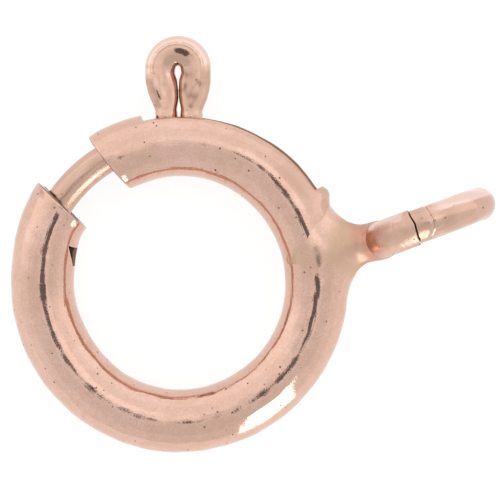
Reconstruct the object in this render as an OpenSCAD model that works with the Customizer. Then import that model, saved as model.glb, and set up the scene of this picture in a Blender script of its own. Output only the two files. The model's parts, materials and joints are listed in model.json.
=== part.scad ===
// Spring ring clasp: a tube bent into an open ring, a wire tongue that a spring holds shut
// across the gap, and a soldered eye for the end of the chain.
// The ring's centre is the origin and +Z is up. The clasp is tilted a little, because it
// lies on the far side of its ring and on its upright eye.

/* [Ring] */
// Outside diameter of the ring
ring_d = 6; // [5.4:0.1:8]
// Outside diameter of the tube
tube_d = 1.12; // [1:0.01:1.4]
// Wall of the tube
tube_wall = 0.15; // [0.1:0.01:0.18]

/* [Gap] */
// Direction of the middle of the gap, from +X
gap_dir = 133.2; // [130:0.1:140]
// Width of the gap at the inside of the ring
gap_inner_w = 1.07; // [0.9:0.01:1.2]
// Width of the gap at the outside of the ring
gap_outer_w = 1.23; // [1:0.01:1.4]

/* [Tongue] */
// Diameter of the tongue's wire
wire_d = 0.53; // [0.4:0.01:0.56]
// Clearance of the wire at the outer side of the bore
wire_play = 0.025; // [0.02:0.005:0.05]
// Length of tongue that is inside the far end of the tube
tip_depth = 0.52; // [0.3:0.01:0.7]
// Length of the tail past the trigger's foot, which the spring pushes on
tail_l = 0.65; // [0.4:0.01:0.9]
// Angle that the tongue is drawn back to open the gap
travel = 43; // [40:0.5:46]

/* [Trigger] */
// Direction of the trigger while the clasp is shut, from +X
trigger_dir = 90; // [86:0.5:93]
// Height of the trigger above the ring
trigger_h = 1.39; // [1.2:0.01:1.8]
// Width of the trigger across its loop
trigger_w = 1.14; // [1.08:0.01:1.3]
// Width of the pressed wire in the plane of the ring
press_w = 0.47; // [0.4:0.01:0.5]
// Thickness of the pressed wire from front to back
press_t = 0.42; // [0.3:0.01:0.5]
// Lean of each leg towards the other
leg_lean = 4; // [2:0.5:5]
// Radius of the bend at each foot, along the middle of the wire
foot_bend_r = 0.36; // [0.32:0.01:0.45]
// Thinning of the wire in the bends of its feet and at its tip
wire_thin = 0.01; // [0.006:0.002:0.03]

/* [Slot] */
// Clearance of the slot at the front and back of the wire
slot_play = 0.035; // [0.02:0.005:0.06]
// Clearance of the slot past each foot at the ends of the tongue's travel
slot_end_play = 0.12; // [0.06:0.01:0.15]

/* [Spring] */
// Diameter of the spring's wire
spring_wire_d = 0.1; // [0.07:0.01:0.12]
// Clearance of the spring in the bore
spring_play = 0.03; // [0.02:0.005:0.06]
// Distance between the turns along the tube
spring_pitch = 0.45; // [0.38:0.01:0.6]
// Clearance at each end of the spring
spring_end_play = 0.03; // [0.02:0.005:0.06]

/* [Stop] */
// Distance from the tongue's tip to the punched stop
stop_play = 0.16; // [0.1:0.01:0.3]
// Length of the stop along the tube
stop_l = 0.32; // [0.25:0.01:0.4]
// Width of the stop at its cut edge
stop_w = 0.7; // [0.5:0.01:0.75]
// Width of the stop at its root
stop_root_w = 0.29; // [0.2:0.01:0.4]
// Depth of the cut edge below the inside of the ring
stop_depth = 0.4; // [0.3:0.01:0.45]

/* [Eye] */
// Outside diameter of the eye
eye_d = 2.42; // [2:0.01:2.8]
// Diameter of the eye's wire
eye_wire_d = 0.59; // [0.5:0.01:0.7]
// Distance from the ring's centre to the eye's centre
eye_dist = 4.59; // [4.5:0.01:4.9]
// Direction of the eye's centre, from +X
eye_dir = 13.7; // [10:0.1:16]
// Direction of the upright plane of the eye, from +X
eye_turn = 20.2; // [14:0.1:24]
// Opening between the ends of the eye's wire
eye_joint_w = 0.03; // [0.02:0.005:0.06]
// Place of that joint, from the top of the eye towards the ring
eye_joint_dir = 18; // [0:1:40]

/* [Neck] */
// Width of the solder where it spreads on the tube
neck_w = 1.78; // [1.4:0.01:1.9]
// Thickness of the solder on the tube, from front to back
neck_t = 1; // [0.8:0.01:1.04]
// Diameter of the stalk between the solder and the eye
stalk_d = 0.52; // [0.4:0.01:0.54]

/* [Hidden] */
$fn = 64;
CUT = 0.5;
LAP = 0.02;

// Ring and bore
tube_r = tube_d / 2;
bore_r = tube_r - tube_wall;
mid_r = ring_d / 2 - tube_r;
inside_r = mid_r - tube_r;

// The tongue's wire runs along the outer side of the bore
wire_r = wire_d / 2;
path_r = mid_r + bore_r - wire_play - wire_r;
thin_d = wire_d - wire_thin;

// Trigger, drawn pointing to +Y: a loop, two legs and two feet that bend into the tube
loop_r = (trigger_w - press_w) / 2;
loop_y = ring_d / 2 + trigger_h - trigger_w / 2;
foot_x = loop_r + foot_bend_r;
foot_r = path_r + foot_bend_r;
leg_b = loop_y * cos(leg_lean);
leg_c = loop_y ^ 2 + foot_x ^ 2 - 2 * foot_x * loop_y * sin(leg_lean) - foot_r ^ 2;
leg_l = leg_b - sqrt(leg_b ^ 2 - leg_c);
foot_at = [
    foot_x * cos(leg_lean) - leg_l * sin(leg_lean),
    loop_y - foot_x * sin(leg_lean) - leg_l * cos(leg_lean)
];
foot_dir = atan2(foot_at.y, foot_at.x);
foot_half = 90 - foot_dir;
foot_lap = arc_angle(LAP, foot_bend_r);

// Directions along the ring, counted from +X
tip_dir = gap_dir + gap_half_angle(path_r) + arc_angle(tip_depth, path_r);
tip_angle = arc_angle(thin_d / 2, path_r);
tail_dir = trigger_dir - foot_half - arc_angle(tail_l, path_r);
slot_half = atan2(foot_at.x - foot_bend_r + wire_r, foot_at.y) + arc_angle(slot_end_play, ring_d / 2);
slot_w = wire_d + 2 * slot_play;
stop_dir = tip_dir + arc_angle(stop_play, path_r);

// Spring, a coil around the middle line of the tube
coil_r = bore_r - spring_play - spring_wire_d / 2;
coil_from = stop_dir - 360 + arc_angle(stop_l + spring_end_play + spring_wire_d / 2, inside_r);
coil_to = tail_dir - arc_angle(spring_end_play + spring_wire_d / 2, mid_r);
coil_turns = floor((coil_to - coil_from) * PI / 180 * mid_r / spring_pitch);
TURN_STEPS = 10;
COIL_SIDES = 5;
coil_steps = coil_turns * TURN_STEPS;

// Eye, and the neck that reaches from the tube to the nearest stretch of its wire
eye_mid_r = (eye_d - eye_wire_d) / 2;
eye_at = eye_dist * [cos(eye_dir), sin(eye_dir)];
eye_near = eye_at - eye_mid_r * [cos(eye_turn), sin(eye_turn)];
neck_dir = atan2(eye_near.y, eye_near.x);
neck_end = norm(eye_near);
fillet_r = (neck_w - stalk_d) / 2;
fillet_at = sqrt(ring_d ^ 2 - neck_w ^ 2) / 2 + fillet_r;

// Tilt at which the far side of the ring and the foot of the eye both touch the surface
rest_tilt = asin((eye_d / 2 - tube_r) / (eye_dist + mid_r));

// Angle that a length covers on a circle
function arc_angle(length, r) = length / r * 180 / PI;

// Half the angle that the gap covers at a distance from the ring's centre
function gap_half_angle(r) =
    asin((gap_inner_w + (gap_outer_w - gap_inner_w) * (r - inside_r) / tube_d) / 2 / r);

// Lays a piece as it rests, tilted about the ring's centre
module at_rest() {
    rotate(a = rest_tilt, v = [sin(eye_dir), -cos(eye_dir), 0])
        children();
}

// A stretch of round bar bent to a radius in the XY plane
module bent_bar(d, r, from, to) {
    rotate([0, 0, from])
        rotate_extrude(angle = to - from)
            translate([r, 0])
                circle(d = d);
}

// The gap between the ends of the tube, a little wider at the outside
module gap_cut() {
    widen = (gap_outer_w - gap_inner_w) / tube_d * CUT;
    rotate([0, 0, gap_dir])
        translate([0, 0, -tube_d])
            linear_extrude(2 * tube_d)
                polygon([
                    [inside_r - CUT, -(gap_inner_w - widen) / 2],
                    [ring_d / 2 + CUT, -(gap_outer_w + widen) / 2],
                    [ring_d / 2 + CUT, (gap_outer_w + widen) / 2],
                    [inside_r - CUT, (gap_inner_w - widen) / 2]
                ]);
}

// The slot in the outer wall, in which the trigger's feet travel
module slot_cut() {
    from = trigger_dir - travel - slot_half;
    rotate([0, 0, from])
        rotate_extrude(angle = travel + 2 * slot_half)
            translate([mid_r, -slot_w / 2])
                square([tube_d, slot_w]);
}

// Outline of the punched stop, seen from the ring's centre and widened by a margin
module stop_face(margin) {
    rotate([90, 0, 90])
        linear_extrude(mid_r)
            polygon([
                [0, -stop_w / 2 - margin],
                [stop_l + margin, -stop_root_w / 2 - margin],
                [stop_l + margin, stop_root_w / 2 + margin],
                [0, stop_w / 2 + margin]
            ]);
}

// The part of the inner wall that the punch has pushed away
module stop_cut() {
    rotate([0, 0, stop_dir])
        intersection() {
            stop_face(0);
            translate([0, 0, -tube_r])
                linear_extrude(tube_d)
                    polygon([
                        [inside_r - CUT, 0],
                        [inside_r + stop_depth, 0],
                        [inside_r, stop_l],
                        [inside_r - CUT, stop_l]
                    ]);
        }
}

// The tab that the punch leaves in the bore, sloping down to its cut edge
module stop_tab() {
    rotate([0, 0, stop_dir])
        intersection() {
            stop_face(tube_wall / 5);
            translate([0, 0, -tube_r])
                linear_extrude(tube_d)
                    polygon([
                        [inside_r + stop_depth, 0],
                        [inside_r + stop_depth + tube_wall, 0],
                        [inside_r + tube_wall, stop_l + tube_wall / 5],
                        [inside_r + tube_wall / 5, stop_l + tube_wall / 5],
                        [inside_r, stop_l]
                    ]);
        }
}

// Solder that spreads from the stalk over the tube, and the stalk itself
module neck() {
    rotate([0, 0, neck_dir])
        rotate([0, 90, 0]) {
            scale([neck_t / neck_w, 1, 1])
                rotate_extrude()
                    difference() {
                        translate([0, mid_r])
                            square([neck_w / 2, min(fillet_at, neck_end) - mid_r]);
                        translate([neck_w / 2, fillet_at])
                            circle(r = fillet_r);
                    }
            translate([0, 0, mid_r])
                cylinder(d = stalk_d, h = neck_end - mid_r);
        }
}

// The upright eye, open by a hair where its wire ends meet
module eye() {
    half_joint = arc_angle(eye_joint_w / 2, eye_mid_r);
    joint_at = 90 + eye_joint_dir;
    translate([eye_at.x, eye_at.y, 0])
        rotate([0, 0, eye_turn])
            rotate([90, 0, 0])
                bent_bar(eye_wire_d, eye_mid_r, joint_at + half_joint, joint_at + 360 - half_joint);
}

// Tube, solder and eye, which are one piece of metal
module case() {
    color([0.86, 0.64, 0.56])
        at_rest()
            union() {
                difference() {
                    union() {
                        bent_bar(tube_d, mid_r, 0, 360);
                        neck();
                    }
                    bent_bar(2 * bore_r, mid_r, 0, 360);
                    gap_cut();
                    slot_cut();
                    stop_cut();
                }
                stop_tab();
                eye();
            }
}

// Cross-section of the wire where the trigger is pressed flat
module pressed_wire() {
    intersection() {
        circle(d = wire_d);
        square([press_w, press_t], center = true);
    }
}

// One leg of the trigger with its foot
module leg() {
    translate([0, loop_y, 0])
        rotate([0, 0, -leg_lean]) {
            translate([loop_r, 0, 0])
                rotate([90, 0, 0])
                    linear_extrude(leg_l)
                        pressed_wire();
            translate([foot_x, -leg_l, 0])
                bent_bar(thin_d, foot_bend_r, 180, 180 + foot_dir + leg_lean + foot_lap);
        }
}

// Hairpin trigger, pointing to +Y
module trigger() {
    translate([0, loop_y, 0])
        rotate([0, 0, -leg_lean])
            rotate_extrude(angle = 180 + 2 * leg_lean)
                translate([loop_r, 0])
                    pressed_wire();
    leg();
    mirror([1, 0, 0])
        leg();
}

// Rounded tip of the tongue
module tip() {
    rotate([0, 0, tip_dir - tip_angle])
        translate([path_r, 0, 0])
            rotate([-90, 0, 0])
                rotate_extrude() {
                    intersection() {
                        circle(d = thin_d);
                        square(thin_d);
                    }
                    translate([0, -LAP])
                        square([thin_d / 2, LAP]);
                }
}

// Tongue, trigger and tail, which are one wire
module tongue() {
    color([0.82, 0.6, 0.52])
        at_rest()
            union() {
                bent_bar(wire_d, path_r, trigger_dir + foot_half, tip_dir - tip_angle);
                tip();
                bent_bar(wire_d, path_r, tail_dir, trigger_dir - foot_half);
                rotate([0, 0, trigger_dir - 90])
                    trigger();
            }
}

// A point of the coil's wire: step counts along the coil, side around the wire
function coil_point(step, side) =
    let (
        around = 360 * step / TURN_STEPS,
        along = coil_from + (coil_to - coil_from) * step / coil_steps,
        out = [cos(along), sin(along), 0],
        forward = [-sin(along), cos(along), 0],
        spoke = cos(around) * out + [0, 0, sin(around)],
        rim = -sin(around) * out + [0, 0, cos(around)],
        advance = (coil_to - coil_from) * mid_r / (360 * coil_turns * coil_r),
        heading = (rim + advance * forward) / norm([1, advance]),
        lift = cross(heading, spoke),
        turn = 360 * side / COIL_SIDES
    )
    mid_r * out + coil_r * spoke + spring_wire_d / 2 * (cos(turn) * spoke + sin(turn) * lift);

// Index of a point of the coil's wire in its list
function coil_index(step, side) = step * COIL_SIDES + side % COIL_SIDES;

// Spring in the tube, from the stop to the tail
module spring() {
    points = [
        for (step = [0:coil_steps])
            for (side = [0:COIL_SIDES - 1])
                coil_point(step, side)
    ];
    walls = [
        for (step = [0:coil_steps - 1])
            for (side = [0:COIL_SIDES - 1])
                [
                    coil_index(step, side),
                    coil_index(step, side + 1),
                    coil_index(step + 1, side + 1),
                    coil_index(step + 1, side)
                ]
    ];
    start = [[for (side = [COIL_SIDES - 1:-1:0]) side]];
    end = [[for (side = [0:COIL_SIDES - 1]) coil_index(coil_steps, side)]];
    color([0.72, 0.7, 0.66])
        at_rest()
            polyhedron(points, concat(start, walls, end));
}

case();
tongue();
spring();
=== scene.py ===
# Spring ring clasp in rose gold: a tube ring, its solder and eye, the sprung tongue and the coil.

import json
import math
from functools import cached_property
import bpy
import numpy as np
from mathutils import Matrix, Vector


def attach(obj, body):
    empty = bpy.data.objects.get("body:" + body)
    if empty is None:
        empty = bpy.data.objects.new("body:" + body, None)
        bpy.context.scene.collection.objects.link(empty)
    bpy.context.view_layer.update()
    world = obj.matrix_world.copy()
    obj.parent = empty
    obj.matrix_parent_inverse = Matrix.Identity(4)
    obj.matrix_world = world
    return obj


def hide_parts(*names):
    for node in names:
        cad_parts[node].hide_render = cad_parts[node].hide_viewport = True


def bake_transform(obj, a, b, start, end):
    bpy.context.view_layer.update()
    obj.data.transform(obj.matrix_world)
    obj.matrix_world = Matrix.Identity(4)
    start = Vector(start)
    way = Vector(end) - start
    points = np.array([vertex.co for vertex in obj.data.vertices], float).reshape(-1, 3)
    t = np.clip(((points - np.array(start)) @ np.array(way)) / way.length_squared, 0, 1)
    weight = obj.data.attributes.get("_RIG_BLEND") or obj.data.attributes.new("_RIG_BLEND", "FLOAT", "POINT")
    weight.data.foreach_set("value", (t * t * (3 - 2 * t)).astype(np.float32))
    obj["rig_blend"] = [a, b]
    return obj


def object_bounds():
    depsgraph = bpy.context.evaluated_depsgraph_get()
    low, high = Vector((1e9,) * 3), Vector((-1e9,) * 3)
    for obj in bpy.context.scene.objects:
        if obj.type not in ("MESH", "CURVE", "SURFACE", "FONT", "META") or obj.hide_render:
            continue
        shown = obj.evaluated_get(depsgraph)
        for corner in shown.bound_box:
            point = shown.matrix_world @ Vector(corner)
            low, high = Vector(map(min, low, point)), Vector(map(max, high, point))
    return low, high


bl_info = {
    "name": "Spring Ring Clasp",
    "version": (1, 0, 0),
    "blender": (4, 5, 0),
    "location": "View3D > Sidebar > Clasp",
    "description": "Models and finishes the pieces of a rose gold spring ring clasp",
    "category": "Add Mesh",
}

from types import SimpleNamespace

import bmesh
import bpy
from bpy.props import FloatProperty, FloatVectorProperty, PointerProperty
from mathutils import Matrix, Vector, noise

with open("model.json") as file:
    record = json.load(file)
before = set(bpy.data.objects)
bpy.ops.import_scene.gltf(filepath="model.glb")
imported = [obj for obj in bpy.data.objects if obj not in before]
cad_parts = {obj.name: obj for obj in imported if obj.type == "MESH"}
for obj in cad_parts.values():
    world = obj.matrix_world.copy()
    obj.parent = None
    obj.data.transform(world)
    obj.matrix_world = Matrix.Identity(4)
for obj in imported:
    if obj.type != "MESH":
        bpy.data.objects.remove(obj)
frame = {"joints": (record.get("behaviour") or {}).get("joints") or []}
cad_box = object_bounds()

# Pieces are modelled in millimetres around the flat ring, then laid down at rest in metres
MM = 0.001
MERGE = 0.0001

# The stain of a vertex: below 0 it is rubbed bright, and on the eye and the trigger's facet it is a painted
# highlight;
# up to 1 it is worn; on to 2 it is dirty, and in grooves and the tube's bore it is painted shade
STAIN_AND_PAINTED_LIGHT = "stain_and_painted_light"
WORN = 1.0
DIRTY_AND_SHADED = 2.0


# Property makers

def length(name, description, default_mm):
    """A length that a user can change, with its default in millimetres."""
    return FloatProperty(
        name=name, description=description, default=default_mm * MM, min=0.0,
        unit="LENGTH", subtype="DISTANCE", precision=6,
    )


def angle(name, description, default_degrees):
    """An angle that a user can change, with its default in degrees."""
    return FloatProperty(
        name=name, description=description, default=math.radians(default_degrees),
        unit="ROTATION", subtype="ANGLE",
    )


def colour(name, description, default):
    """A colour that a user can change."""
    return FloatVectorProperty(
        name=name, description=description, default=default, min=0.0, max=1.0,
        size=3, subtype="COLOR",
    )


# Sizes and colours

class RingSizes(bpy.types.PropertyGroup):
    """Sizes of the tube and of the gap between its ends."""

    ring_d: length("Ring diameter", "Outside diameter of the ring", 6.0)
    tube_d: length("Tube diameter", "Outside diameter of the tube", 1.12)
    wall: length("Tube wall", "Thickness of the tube's wall", 0.15)
    gap_dir: angle("Gap direction", "Direction of the middle of the gap", 133.2)
    gap_inner_w: length("Inner gap", "Width of the gap at the inside of the ring", 1.02)
    gap_outer_w: length("Outer gap", "Width of the gap at the outside of the ring", 1.19)
    spread: length("Upper spread", "How far the slotted end of the tube stands outwards", 0.027)
    lower_spread: length("Lower spread", "How far the other end of the tube stands outwards", 0.058)
    flare: length("Upper flare", "How far the slotted end is widened in the ring's plane", 0.06)
    lower_flare: length("Lower flare", "How far the wall stands out at the other end", 0.018)
    cut_lean: angle("Cut lean", "Lean of the cut at the lower end of the gap", 2.6)
    edge: length("Edge rounding", "Rounding of the edges of the slot and of the stop", 0.012)
    end_edge: length("End rounding", "Rounding of the tube's cut ends", 0.028)
    ripple: length("Ripple", "Unevenness of the bent wall", 0.0095)
    flat: length("Flat", "How far the lower left of the tube is pressed inwards", 0.037)


class TongueSizes(bpy.types.PropertyGroup):
    """Sizes of the tongue's wire."""

    wire_d: length("Wire diameter", "Diameter of the tongue's wire", 0.53)
    play: length("Play", "Clearance of the wire at the outer side of the bore", 0.025)
    tip_depth: length("Tip depth", "Length of tongue inside the far end of the tube", 0.52)
    tail_l: length("Tail length", "Length of tail that the spring pushes on", 0.65)
    travel: angle("Travel", "Angle that the tongue is drawn back", 43.0)


class TriggerSizes(bpy.types.PropertyGroup):
    """Sizes of the hairpin trigger."""

    direction: angle("Direction", "Direction of the trigger while shut", 90.0)
    height: length("Height", "Height of the trigger above the ring", 1.37)
    width: length("Width", "Width of the trigger across its loop", 1.14)
    press_w: length("Pressed width", "Width of the pressed wire in the ring's plane", 0.47)
    press_t: length("Pressed thickness", "Thickness of the pressed wire", 0.42)
    leg_lean: angle("Leg lean", "Lean of each leg towards the other", 4.0)
    foot_bend_r: length("Foot bend", "Radius of the bend at each foot", 0.36)
    bow: angle("Bow", "Angle that the trigger is bowed away from the front", 7.9)
    skew: angle("Skew", "Angle that the trigger is twisted", 7.5)
    aside: length("Aside", "How far the top of the trigger stands to the left", 0.028)


class SlotSizes(bpy.types.PropertyGroup):
    """Sizes of the slot and of the punched stop."""

    play: length("Slot play", "Clearance of the slot beside the wire", 0.035)
    end_play: length("Slot end play", "Clearance of the slot past each foot", 0.12)
    side_lean: angle("Side lean", "Lean of the slot's cut sides", 2.5)
    lip: length("Lip", "How far the wall beside the slot stands out", 0.055)
    lift: length("Lift", "How far the lips are opened near the slot's closed end", 0.07)
    burr: length("Burr", "Height of the burr at the slot's closed end", 0.09)
    stop_play: length("Stop play", "Distance from the tongue's tip to the stop", 0.16)
    stop_l: length("Stop length", "Length of the stop along the tube", 0.32)
    stop_w: length("Stop width", "Width of the stop at its cut edge", 0.7)
    stop_root_w: length("Stop root", "Width of the stop at its root", 0.29)
    stop_depth: length("Stop depth", "Depth of the stop's cut edge", 0.4)
    stop_low: angle("Stop low side", "How far below the middle of the tube the stop is cut", 4.6)


class SpringSizes(bpy.types.PropertyGroup):
    """Sizes of the coil in the tube."""

    wire_d: length("Spring wire", "Diameter of the spring's wire", 0.1)
    play: length("Spring play", "Clearance of the spring in the bore", 0.03)
    pitch: length("Pitch", "Distance between the turns along the tube", 0.45)
    end_play: length("End play", "Clearance at each end of the spring", 0.03)


class EyeSizes(bpy.types.PropertyGroup):
    """Sizes of the upright eye."""

    eye_d: length("Eye diameter", "Outside diameter of the eye", 2.42)
    wire_d: length("Eye wire", "Diameter of the eye's wire", 0.59)
    swell: length("Swell", "How much thicker the half next to the ring is", 0.06)
    distance: length("Eye distance", "Distance from the ring's centre to the eye's", 4.59)
    direction: angle("Eye direction", "Direction of the eye's centre", 13.7)
    turn: angle("Eye turn", "Direction of the upright plane of the eye", 20.2)
    joint_w: length("Joint width", "Opening between the ends of the eye's wire", 0.012)
    joint_dir: angle("Joint place", "Place of the joint, from the top towards the ring", 14.8)
    joint_bow: angle("Joint bow", "How far the joint bows over the outside of the wire", 6.2)


class NeckSizes(bpy.types.PropertyGroup):
    """Sizes of the solder between the tube and the eye."""

    stalk_d: length("Stalk diameter", "Diameter of the stalk in the solder", 0.46)
    spread: length("Solder spread", "How far the solder creeps over the tube", 0.8)
    eye_spread: length("Eye spread", "How far the solder creeps over the eye", 0.28)
    sink: length("Seam depth", "Depth of the solder's rim below the metal", 0.008)


class Finishes(bpy.types.PropertyGroup):
    """Colours of the metals."""

    gold: colour("Rose gold", "Polished rose gold", (0.75, 0.497, 0.418))
    warm: colour("Warm gold", "Rose gold where it is dull", (0.67, 0.43, 0.33))
    # This colour is also the painted shade in the trigger's creases and pressed lines, the eye's wrinkle and
    # the tube's bore
    dirt_and_shade: colour("Pits", "Dirt in pits and scratches", (0.14, 0.08, 0.05))
    # This colour is also the painted highlight on the eye's lit side and on the trigger's left facet
    bright: colour("Bright gold", "Rose gold where it is rubbed bright", (0.82, 0.61, 0.54))
    solder: colour("Solder", "Solder at the neck", (0.57, 0.385, 0.27))
    flush: colour("Flush", "Copper red of the gold beside the solder", (0.58, 0.29, 0.21))
    # This colour also carries painted shade beside the trigger's slit and on the way to the dark of creases
    # and bore
    wear_and_shade: colour("Wear", "Rose gold where it slides or was hammered", (0.56, 0.36, 0.27))
    steel: colour("Spring steel", "Drawn wire of the coil", (0.48, 0.46, 0.43))


class StageSettings(bpy.types.PropertyGroup):
    """Camera, light and floor."""

    view_x: length("View X", "Middle of the view along X", 1.2535)
    view_y: length("View Y", "Middle of the view along Y", 0.5867)
    view_w: length("View width", "Width of the view at the ring's middle", 8.855)
    camera_h: length("Camera height", "Height of the camera above the ring", 200.0)
    floor_w: length("Floor width", "Width of the floor", 400.0)
    floor: colour("Floor", "Colour of the floor", (0.24, 0.24, 0.24))
    glow: FloatProperty(
        name="Floor glow", description="Light that the floor gives off", default=0.83, min=0.0,
    )
    tent: FloatProperty(
        name="Tent light", description="Strength of the tent's light", default=1.0, min=0.0,
    )
    box_light: FloatProperty(
        name="Side light", description="Power of the side light", default=0.00022, min=0.0, unit="POWER",
    )
    box_w: length("Side light width", "Width of the side light", 3.6)
    box_h: length("Side light height", "Height of the side light", 7.4)
    box_away: length("Side light distance", "Distance of the side light from the ring's middle", 8.4)
    box_dir: angle("Side light direction", "Direction of the side light", -58.0)


GROUPS = {
    "clasp_ring": RingSizes,
    "clasp_tongue": TongueSizes,
    "clasp_trigger": TriggerSizes,
    "clasp_slot": SlotSizes,
    "clasp_spring": SpringSizes,
    "clasp_eye": EyeSizes,
    "clasp_neck": NeckSizes,
    "clasp_finish": Finishes,
    "clasp_stage": StageSettings,
}


# Small sums

def clamp(value, low=0.0, high=1.0):
    """A value kept between two limits."""
    return max(low, min(high, value))


def ease(low, high, value):
    """0 below low, 1 above high, and a smooth rise between them."""
    share = clamp((value - low) / (high - low))
    return share * share * (3 - 2 * share)


def hump(middle, half_width, value):
    """1 at the middle, and a smooth fall to 0 at half_width on each side."""
    return 1 - ease(0, half_width, abs(value - middle))


def within(stretch, value):
    """1 at the middle of a stretch, and a smooth fall to 0 at its reach to each side, both in degrees."""
    middle, reach = stretch
    return hump(math.radians(middle), math.radians(reach), value)


def fade(limits, value):
    """1 below the first of two limits in degrees, 0 above the second, and a smooth fall between them."""
    first, last = limits
    return 1 - ease(math.radians(first), math.radians(last), value)


def span(first, last, step):
    """Values from first to last in equal steps no longer than step."""
    count = max(1, math.ceil(abs(last - first) / step))
    return [first + (last - first) * i / count for i in range(count + 1)]


def spans(breaks, step):
    """Values through all the breaks, each stretch in equal steps."""
    values = [breaks[0]]
    for first, last in zip(breaks, breaks[1:]):
        values += span(first, last, step)[1:]
    return values


def ring_point(direction, radius, height=0.0):
    """A point at a direction and distance from the ring's centre."""
    return Vector((radius * math.cos(direction), radius * math.sin(direction), height))


def in_mm(group):
    """A copy of a group's values, with its lengths in millimetres."""
    values = SimpleNamespace()
    for name, prop in group.bl_rna.properties.items():
        if prop.type != "FLOAT" or prop.is_array:
            continue
        value = getattr(group, name)
        setattr(values, name, value / MM if prop.unit == "LENGTH" else value)
    return values


def clasp_sizes():
    """All sizes in millimetres and radians, with what follows from them."""
    scene = bpy.context.scene
    parts = ("ring", "tongue", "trigger", "slot", "spring", "eye", "neck")
    size = SimpleNamespace(**{part: in_mm(getattr(scene, "clasp_" + part)) for part in parts})
    ring, tongue, trigger, slot, eye = size.ring, size.tongue, size.trigger, size.slot, size.eye

    size.outside_r = ring.ring_d / 2
    size.tube_r = ring.tube_d / 2
    size.bore_r = size.tube_r - ring.wall
    size.mid_r = size.outside_r - size.tube_r
    size.inside_r = size.mid_r - size.tube_r
    size.wire_r = tongue.wire_d / 2
    size.path_r = size.mid_r + size.bore_r - tongue.play - size.wire_r

    size.loop_r = (trigger.width - trigger.press_w) / 2
    size.loop_y = size.outside_r + trigger.height - trigger.width / 2
    lean = trigger.leg_lean
    foot_x = size.loop_r + trigger.foot_bend_r
    foot_r = size.path_r + trigger.foot_bend_r
    leg_b = size.loop_y * math.cos(lean)
    leg_c = size.loop_y ** 2 + foot_x ** 2 - 2 * foot_x * size.loop_y * math.sin(lean) - foot_r ** 2
    size.leg_l = leg_b - math.sqrt(leg_b ** 2 - leg_c)
    foot_at = Vector((
        foot_x * math.cos(lean) - size.leg_l * math.sin(lean),
        size.loop_y - foot_x * math.sin(lean) - size.leg_l * math.cos(lean),
    ))
    size.foot_dir = math.atan2(foot_at.y, foot_at.x)
    size.foot_half = math.pi / 2 - size.foot_dir

    size.gap_half = gap_half_angle(size, size.path_r)
    size.mid_half = gap_half_angle(size, size.mid_r)
    size.tube_from = ring.gap_dir + size.mid_half
    size.tube_to = ring.gap_dir - size.mid_half + 2 * math.pi
    size.tip_dir = ring.gap_dir + size.gap_half + tongue.tip_depth / size.path_r
    size.tail_dir = trigger.direction - size.foot_half - tongue.tail_l / size.path_r
    foot_reach = math.atan2(foot_at.x - trigger.foot_bend_r + size.wire_r, foot_at.y)
    size.slot_half = foot_reach + slot.end_play / size.outside_r
    size.slot_w = tongue.wire_d + 2 * slot.play
    size.slot_side = math.asin(size.slot_w / 2 / size.tube_r)
    size.slot_from = trigger.direction - tongue.travel - size.slot_half
    size.slot_to = trigger.direction + size.slot_half
    size.stop_dir = size.tip_dir + slot.stop_play / size.path_r
    size.stop_to = size.stop_dir + math.atan(slot.stop_l / size.inside_r)

    size.eye_mid_r = (eye.eye_d - eye.wire_d) / 2
    size.eye_at = ring_point(eye.direction, eye.distance)
    eye_near = size.eye_at - ring_point(eye.turn, size.eye_mid_r)
    size.neck_dir = math.atan2(eye_near.y, eye_near.x)
    size.neck_end = eye_near.length
    return size


def gap_half_angle(size, radius):
    """Half the angle that the gap covers at a distance from the ring's centre."""
    ring = size.ring
    widened = (ring.gap_outer_w - ring.gap_inner_w) * (radius - size.inside_r) / ring.tube_d
    return math.asin((ring.gap_inner_w + widened) / 2 / radius)


# Making pieces

def skin(rows, columns, place):
    """A mesh of vertices that place(row, column) lays and stains, with painted light and shade in the stain,
    with what meets itself merged.
    """
    bm = bmesh.new()
    stain_and_painted_light = bm.verts.layers.float.new(STAIN_AND_PAINTED_LIGHT)
    made = bmesh.ops.create_grid(bm, x_segments=len(rows) - 1, y_segments=len(columns) - 1, size=1.0)
    for vert in made["verts"]:
        row = rows[round((vert.co.x + 1) / 2 * (len(rows) - 1))]
        column = columns[round((vert.co.y + 1) / 2 * (len(columns) - 1))]
        vert.co, vert[stain_and_painted_light] = place(row, column)
    bmesh.ops.remove_doubles(bm, verts=bm.verts, dist=MERGE)
    bmesh.ops.recalc_face_normals(bm, faces=bm.faces)
    return bm


def thicken(bm, width):
    """Makes a skin into a wall."""
    bmesh.ops.solidify(bm, geom=bm.faces[:], thickness=width)
    bmesh.ops.recalc_face_normals(bm, faces=bm.faces)


def turn(sides):
    """Angles once round a section."""
    return span(0, 2 * math.pi, 2 * math.pi / sides)


def close_ends(bm):
    """Fills the open ends of a bar."""
    edges = [edge for edge in bm.edges if edge.is_boundary]
    bmesh.ops.holes_fill(bm, edges=edges, sides=0)
    bmesh.ops.recalc_face_normals(bm, faces=bm.faces)


def round_edges(bm, width, chosen):
    """Rounds the edges that turn sharply, where chosen(point) is true."""
    sharp = math.radians(50)
    edges = [edge for edge in bm.edges if len(edge.link_faces) == 2 and edge.calc_face_angle() > sharp]
    edges = [edge for edge in edges if chosen((edge.verts[0].co + edge.verts[1].co) / 2)]
    bmesh.ops.bevel(
        bm, geom=edges, offset=width, offset_type="OFFSET", affect="EDGES", segments=3,
        profile=0.5, material=-1, clamp_overlap=True,
    )


def tilt_matrix():
    """Turns the flat ring to how it lies, from the axis that its tongue turns about."""
    up = Vector(frame["joints"][0]["axis"]).normalized()
    return Vector((0, 0, 1)).rotation_difference(up).to_matrix().to_4x4()


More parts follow.
